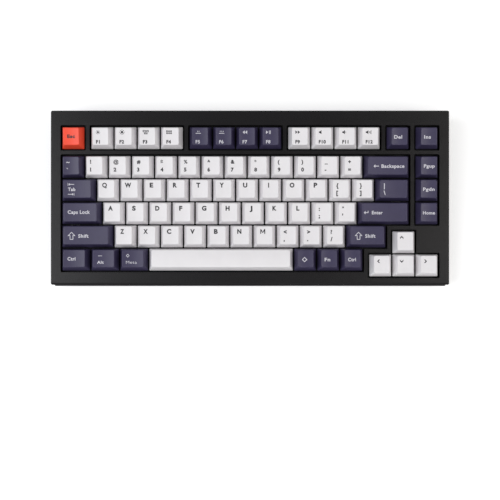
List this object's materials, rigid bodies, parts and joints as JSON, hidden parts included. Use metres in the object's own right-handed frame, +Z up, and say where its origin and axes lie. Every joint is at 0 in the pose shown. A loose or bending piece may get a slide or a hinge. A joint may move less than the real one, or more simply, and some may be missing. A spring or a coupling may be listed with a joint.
{
  "type": "mechanical keyboard",
  "caption": "Compact mechanical keyboard with a two-part aluminium wedge case, sculpted white, navy and orange keycaps and an arrow cluster.",
  "frame": {"origin": "centre of the bounding box, on the surface the feet stand on", "axes": "+X to the typist's right, +Y towards the rear edge with the cable socket, +Z up"},
  "size_m": [0.3276, 0.145, 0.0428],
  "materials": {
    "case": "anodised, fine blasted",
    "cap_white": "fine textured",
    "cap_navy": "fine textured",
    "cap_orange": "fine textured",
    "plate": "satin",
    "foam": "matt",
    "gasket": "matt",
    "board": "solder mask",
    "black_plastic": "satin",
    "clear_plastic": "clear",
    "spring_steel": "bright",
    "contact_metal": "bright",
    "lamp": "clear",
    "screw_steel": "black",
    "foot_rubber": "matt",
    "socket_steel": "bright"
  },
  "bodies": {
    "case": {"board_cable": "clear_plastic", "bottom_case": "case", "case_foam": "foam", "case_screws": "screw_steel", "circuit_board": "board", "controller_chips": "black_plastic", "daughter_board": "board", "gasket_pads": "gasket", "hot_swap_sockets": "black_plastic", "key_lamps": "lamp", "mode_switch_body": "socket_steel", "plate_foam": "foam", "rubber_feet": "foot_rubber", "stabiliser_housings": "black_plastic", "stabiliser_screws": "screw_steel", "switch_bases": "black_plastic", "switch_contacts": "contact_metal", "switch_covers": "black_plastic", "switch_plate": "plate", "switch_springs": "spring_steel", "top_case": "case", "usb_socket": "socket_steel"},
    "escape_key": {"escape_key": "cap_orange"},
    "keys_f1_f4": {"keys_f1_f4": "cap_white"},
    "keys_f5_f8": {"keys_f5_f8": "cap_navy"},
    "keys_f9_f12": {"keys_f9_f12": "cap_white"},
    "delete_key": {"delete_key": "cap_navy"},
    "insert_key": {"insert_key": "cap_navy"},
    "backquote_key": {"backquote_key": "cap_navy"},
    "keys_1qaz": {"keys_1qaz": "cap_white"},
    "keys_2wsx": {"keys_2wsx": "cap_white"},
    "keys_3edc": {"keys_3edc": "cap_white"},
    "keys_4rfv": {"keys_4rfv": "cap_white"},
    "keys_5tgb": {"keys_5tgb": "cap_white"},
    "keys_6yhn": {"keys_6yhn": "cap_white"},
    "keys_7ujm": {"keys_7ujm": "cap_white"},
    "keys_8ik": {"keys_8ik": "cap_white"},
    "keys_9ol": {"keys_9ol": "cap_white"},
    "keys_0p": {"keys_0p": "cap_white"},
    "keys_brackets": {"keys_brackets": "cap_white"},
    "backspace_key": {"backspace_key": "cap_navy"},
    "tab_key": {"tab_key": "cap_navy"},
    "backslash_key": {"backslash_key": "cap_navy"},
    "caps_lock_key": {"caps_lock_key": "cap_navy"},
    "enter_key": {"enter_key": "cap_navy"},
    "left_shift_key": {"left_shift_key": "cap_navy"},
    "right_shift_key": {"right_shift_key": "cap_navy"},
    "left_modifier_keys": {"left_modifier_keys": "cap_navy"},
    "right_modifier_keys": {"right_modifier_keys": "cap_navy"},
    "page_keys": {"page_keys": "cap_navy"},
    "space_bar": {"space_bar": "cap_white"},
    "up_key": {"up_key": "cap_white"},
    "left_key": {"left_key": "cap_white"},
    "down_key": {"down_key": "cap_white"},
    "right_key": {"right_key": "cap_white"},
    "backspace_wire": {"backspace_wire": "spring_steel"},
    "enter_wire": {"enter_wire": "spring_steel"},
    "left_shift_wire": {"left_shift_wire": "spring_steel"},
    "space_bar_wire": {"space_bar_wire": "spring_steel"},
    "mode_switch_knob": {"mode_switch_knob": "black_plastic"}
  },
  "joints": [
    {"name": "escape_key_press", "type": "slide", "parent": "case", "child": "escape_key", "axis": [0, 0.0958, -0.9954], "range_m": [0, 0.004], "stiffness_N_per_m": 73.5, "springref_m": -0.004, "deforming": ["switch_springs"]},
    {"name": "keys_f1_f4_press", "type": "slide", "parent": "case", "child": "keys_f1_f4", "axis": [0, 0.0958, -0.9954], "range_m": [0, 0.004], "stiffness_N_per_m": 294, "springref_m": -0.004, "deforming": ["switch_springs"]},
    {"name": "keys_f5_f8_press", "type": "slide", "parent": "case", "child": "keys_f5_f8", "axis": [0, 0.0958, -0.9954], "range_m": [0, 0.004], "stiffness_N_per_m": 294, "springref_m": -0.004, "deforming": ["switch_springs"]},
    {"name": "keys_f9_f12_press", "type": "slide", "parent": "case", "child": "keys_f9_f12", "axis": [0, 0.0958, -0.9954], "range_m": [0, 0.004], "stiffness_N_per_m": 294, "springref_m": -0.004, "deforming": ["switch_springs"]},
    {"name": "delete_key_press", "type": "slide", "parent": "case", "child": "delete_key", "axis": [0, 0.0958, -0.9954], "range_m": [0, 0.004], "stiffness_N_per_m": 73.5, "springref_m": -0.004, "deforming": ["switch_springs"]},
    {"name": "insert_key_press", "type": "slide", "parent": "case", "child": "insert_key", "axis": [0, 0.0958, -0.9954], "range_m": [0, 0.004], "stiffness_N_per_m": 73.5, "springref_m": -0.004, "deforming": ["switch_springs"]},
    {"name": "backquote_key_press", "type": "slide", "parent": "case", "child": "backquote_key", "axis": [0, 0.0958, -0.9954], "range_m": [0, 0.004], "stiffness_N_per_m": 73.5, "springref_m": -0.004, "deforming": ["switch_springs"]},
    {"name": "keys_1qaz_press", "type": "slide", "parent": "case", "child": "keys_1qaz", "axis": [0, 0.0958, -0.9954], "range_m": [0, 0.004], "stiffness_N_per_m": 294, "springref_m": -0.004, "deforming": ["switch_springs"]},
    {"name": "keys_2wsx_press", "type": "slide", "parent": "case", "child": "keys_2wsx", "axis": [0, 0.0958, -0.9954], "range_m": [0, 0.004], "stiffness_N_per_m": 294, "springref_m": -0.004, "deforming": ["switch_springs"]},
    {"name": "keys_3edc_press", "type": "slide", "parent": "case", "child": "keys_3edc", "axis": [0, 0.0958, -0.9954], "range_m": [0, 0.004], "stiffness_N_per_m": 294, "springref_m": -0.004, "deforming": ["switch_springs"]},
    {"name": "keys_4rfv_press", "type": "slide", "parent": "case", "child": "keys_4rfv", "axis": [0, 0.0958, -0.9954], "range_m": [0, 0.004], "stiffness_N_per_m": 294, "springref_m": -0.004, "deforming": ["switch_springs"]},
    {"name": "keys_5tgb_press", "type": "slide", "parent": "case", "child": "keys_5tgb", "axis": [0, 0.0958, -0.9954], "range_m": [0, 0.004], "stiffness_N_per_m": 294, "springref_m": -0.004, "deforming": ["switch_springs"]},
    {"name": "keys_6yhn_press", "type": "slide", "parent": "case", "child": "keys_6yhn", "axis": [0, 0.0958, -0.9954], "range_m": [0, 0.004], "stiffness_N_per_m": 294, "springref_m": -0.004, "deforming": ["switch_springs"]},
    {"name": "keys_7ujm_press", "type": "slide", "parent": "case", "child": "keys_7ujm", "axis": [0, 0.0958, -0.9954], "range_m": [0, 0.004], "stiffness_N_per_m": 294, "springref_m": -0.004, "deforming": ["switch_springs"]},
    {"name": "keys_8ik_press", "type": "slide", "parent": "case", "child": "keys_8ik", "axis": [0, 0.0958, -0.9954], "range_m": [0, 0.004], "stiffness_N_per_m": 294, "springref_m": -0.004, "deforming": ["switch_springs"]},
    {"name": "keys_9ol_press", "type": "slide", "parent": "case", "child": "keys_9ol", "axis": [0, 0.0958, -0.9954], "range_m": [0, 0.004], "stiffness_N_per_m": 294, "springref_m": -0.004, "deforming": ["switch_springs"]},
    {"name": "keys_0p_press", "type": "slide", "parent": "case", "child": "keys_0p", "axis": [0, 0.0958, -0.9954], "range_m": [0, 0.004], "stiffness_N_per_m": 294, "springref_m": -0.004, "deforming": ["switch_springs"]},
    {"name": "keys_brackets_press", "type": "slide", "parent": "case", "child": "keys_brackets", "axis": [0, 0.0958, -0.9954], "range_m": [0, 0.004], "stiffness_N_per_m": 367.5, "springref_m": -0.004, "deforming": ["switch_springs"]},
    {"name": "backspace_key_press", "type": "slide", "parent": "case", "child": "backspace_key", "axis": [0, 0.0958, -0.9954], "range_m": [0, 0.004], "stiffness_N_per_m": 73.5, "springref_m": -0.004, "deforming": ["switch_springs"]},
    {"name": "tab_key_press", "type": "slide", "parent": "case", "child": "tab_key", "axis": [0, 0.0958, -0.9954], "range_m": [0, 0.004], "stiffness_N_per_m": 73.5, "springref_m": -0.004, "deforming": ["switch_springs"]},
    {"name": "backslash_key_press", "type": "slide", "parent": "case", "child": "backslash_key", "axis": [0, 0.0958, -0.9954], "range_m": [0, 0.004], "stiffness_N_per_m": 73.5, "springref_m": -0.004, "deforming": ["switch_springs"]},
    {"name": "caps_lock_key_press", "type": "slide", "parent": "case", "child": "caps_lock_key", "axis": [0, 0.0958, -0.9954], "range_m": [0, 0.004], "stiffness_N_per_m": 73.5, "springref_m": -0.004, "deforming": ["switch_springs"]},
    {"name": "enter_key_press", "type": "slide", "parent": "case", "child": "enter_key", "axis": [0, 0.0958, -0.9954], "range_m": [0, 0.004], "stiffness_N_per_m": 73.5, "springref_m": -0.004, "deforming": ["switch_springs"]},
    {"name": "left_shift_key_press", "type": "slide", "parent": "case", "child": "left_shift_key", "axis": [0, 0.0958, -0.9954], "range_m": [0, 0.004], "stiffness_N_per_m": 73.5, "springref_m": -0.004, "deforming": ["switch_springs"]},
    {"name": "right_shift_key_press", "type": "slide", "parent": "case", "child": "right_shift_key", "axis": [0, 0.0958, -0.9954], "range_m": [0, 0.004], "stiffness_N_per_m": 73.5, "springref_m": -0.004, "deforming": ["switch_springs"]},
    {"name": "left_modifier_keys_press", "type": "slide", "parent": "case", "child": "left_modifier_keys", "axis": [0, 0.0958, -0.9954], "range_m": [0, 0.004], "stiffness_N_per_m": 220.5, "springref_m": -0.004, "deforming": ["switch_springs"]},
    {"name": "right_modifier_keys_press", "type": "slide", "parent": "case", "child": "right_modifier_keys", "axis": [0, 0.0958, -0.9954], "range_m": [0, 0.004], "stiffness_N_per_m": 220.5, "springref_m": -0.004, "deforming": ["switch_springs"]},
    {"name": "page_keys_press", "type": "slide", "parent": "case", "child": "page_keys", "axis": [0, 0.0958, -0.9954], "range_m": [0, 0.004], "stiffness_N_per_m": 220.5, "springref_m": -0.004, "deforming": ["switch_springs"]},
    {"name": "space_bar_press", "type": "slide", "parent": "case", "child": "space_bar", "axis": [0, 0.0958, -0.9954], "range_m": [0, 0.004], "stiffness_N_per_m": 73.5, "springref_m": -0.004, "deforming": ["switch_springs"]},
    {"name": "up_key_press", "type": "slide", "parent": "case", "child": "up_key", "axis": [0, 0.0958, -0.9954], "range_m": [0, 0.004], "stiffness_N_per_m": 73.5, "springref_m": -0.004, "deforming": ["switch_springs"]},
    {"name": "left_key_press", "type": "slide", "parent": "case", "child": "left_key", "axis": [0, 0.0958, -0.9954], "range_m": [0, 0.004], "stiffness_N_per_m": 73.5, "springref_m": -0.004, "deforming": ["switch_springs"]},
    {"name": "down_key_press", "type": "slide", "parent": "case", "child": "down_key", "axis": [0, 0.0958, -0.9954], "range_m": [0, 0.004], "stiffness_N_per_m": 73.5, "springref_m": -0.004, "deforming": ["switch_springs"]},
    {"name": "right_key_press", "type": "slide", "parent": "case", "child": "right_key", "axis": [0, 0.0958, -0.9954], "range_m": [0, 0.004], "stiffness_N_per_m": 73.5, "springref_m": -0.004, "deforming": ["switch_springs"]},
    {"name": "backspace_wire_rock", "type": "hinge", "parent": "case", "child": "backspace_wire", "pos_m": [0.11192, 0.03389, 0.02162], "axis": [1, 0, 0], "range_deg": [0, 24.63]},
    {"name": "enter_wire_rock", "type": "hinge", "parent": "case", "child": "enter_wire", "pos_m": [0.10954, -0.00404, 0.01797], "axis": [1, 0, 0], "range_deg": [0, 24.63]},
    {"name": "left_shift_wire_rock", "type": "hinge", "parent": "case", "child": "left_shift_wire", "pos_m": [-0.13335, -0.023, 0.01614], "axis": [1, 0, 0], "range_deg": [0, 24.63]},
    {"name": "space_bar_wire_rock", "type": "hinge", "parent": "case", "child": "space_bar_wire", "pos_m": [-0.02381, -0.04196, 0.01432], "axis": [1, 0, 0], "range_deg": [0, 24.63]},
    {"name": "mode_switch_slide", "type": "slide", "parent": "case", "child": "mode_switch_knob", "axis": [1, 0, 0], "range_m": [0, 0.002]}
  ],
  "couplings": [
    {"joint": "backspace_wire_rock", "follows": "backspace_key_press", "rad_per_m": 107.44},
    {"joint": "enter_wire_rock", "follows": "enter_key_press", "rad_per_m": 107.44},
    {"joint": "left_shift_wire_rock", "follows": "left_shift_key_press", "rad_per_m": 107.44},
    {"joint": "space_bar_wire_rock", "follows": "space_bar_press", "rad_per_m": 107.44}
  ]
}
